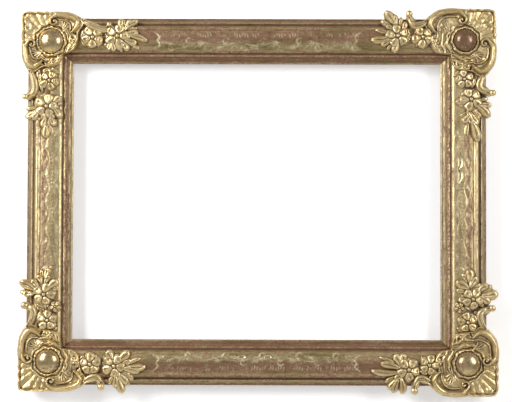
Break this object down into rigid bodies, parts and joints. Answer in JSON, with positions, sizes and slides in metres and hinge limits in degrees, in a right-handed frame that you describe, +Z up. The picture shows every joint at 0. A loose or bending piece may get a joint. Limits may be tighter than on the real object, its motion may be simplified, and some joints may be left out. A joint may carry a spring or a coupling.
{
  "type": "ornate picture frame",
  "caption": "Carved and gilded frame with cartouche corners, bosses and flower sprays on mitred rails; a rebate, turn buttons and hanging rings at the back.",
  "frame": {"origin": "centre of the opening, in the plane of the rails' back, which lies against the wall", "axes": "+X to the right seen from the front, +Z up, +Y from the front to the wall"},
  "size_m": [0.7803, 0.0576, 0.6333],
  "materials": {
    "gilded_rail": "water gilding over red bole, rubbed and aged",
    "gilded_carving": "gilding over bole, burnished on the heights and dark in the hollows",
    "gilded_boss": "burnished gilding",
    "key_wood": "bare, planed",
    "button_brass": "dull",
    "hanger_brass": "satin",
    "screw_steel": "plain"
  },
  "bodies": {
    "frame": {"top_rail": "gilded_rail", "bottom_rail": "gilded_rail", "left_rail": "gilded_rail", "right_rail": "gilded_rail", "top_left_mitre_key": "key_wood", "top_left_cartouche": "gilded_carving", "top_left_level_spray": "gilded_carving", "top_left_level_curled_leaf": "gilded_carving", "top_left_upright_spray": "gilded_carving", "top_left_upright_curled_leaf": "gilded_carving", "top_right_mitre_key": "key_wood", "top_right_cartouche": "gilded_carving", "top_right_level_spray": "gilded_carving", "top_right_level_curled_leaf": "gilded_carving", "top_right_upright_spray": "gilded_carving", "top_right_upright_curled_leaf": "gilded_carving", "bottom_left_mitre_key": "key_wood", "bottom_left_cartouche": "gilded_carving", "bottom_left_level_spray": "gilded_carving", "bottom_left_level_curled_leaf": "gilded_carving", "bottom_left_upright_spray": "gilded_carving", "bottom_left_upright_curled_leaf": "gilded_carving", "bottom_right_mitre_key": "key_wood", "bottom_right_cartouche": "gilded_carving", "bottom_right_level_spray": "gilded_carving", "bottom_right_level_curled_leaf": "gilded_carving", "bottom_right_upright_spray": "gilded_carving", "bottom_right_upright_curled_leaf": "gilded_carving", "corner_bosses": "gilded_boss", "button_screws": "screw_steel", "left_hanger_strap": "hanger_brass", "right_hanger_strap": "hanger_brass", "hanger_screws": "screw_steel"},
    "top_turn_button": {"top_button": "button_brass"},
    "bottom_turn_button": {"bottom_button": "button_brass"},
    "left_turn_button": {"left_button": "button_brass"},
    "right_turn_button": {"right_button": "button_brass"},
    "left_ring": {"left_hanger_ring": "hanger_brass"},
    "right_ring": {"right_hanger_ring": "hanger_brass"}
  },
  "joints": [
    {"name": "top_button_turn", "type": "hinge", "parent": "frame", "child": "top_turn_button", "pos_m": [0, 0.00092, 0.2405], "axis": [0, 1, 0], "continuous": true},
    {"name": "bottom_button_turn", "type": "hinge", "parent": "frame", "child": "bottom_turn_button", "pos_m": [0, 0.00092, -0.2405], "axis": [0, 1, 0], "continuous": true},
    {"name": "left_button_turn", "type": "hinge", "parent": "frame", "child": "left_turn_button", "pos_m": [-0.3155, 0.00092, 0], "axis": [0, 1, 0], "continuous": true},
    {"name": "right_button_turn", "type": "hinge", "parent": "frame", "child": "right_turn_button", "pos_m": [0.3155, 0.00092, 0], "axis": [0, 1, 0], "continuous": true},
    {"name": "left_ring_fold", "type": "hinge", "parent": "frame", "child": "left_ring", "pos_m": [-0.3395, 0.00277, 0.152], "axis": [1, 0, 0], "range_deg": [0, 180]},
    {"name": "right_ring_fold", "type": "hinge", "parent": "frame", "child": "right_ring", "pos_m": [0.3395, 0.00277, 0.152], "axis": [1, 0, 0], "range_deg": [0, 180]}
  ]
}
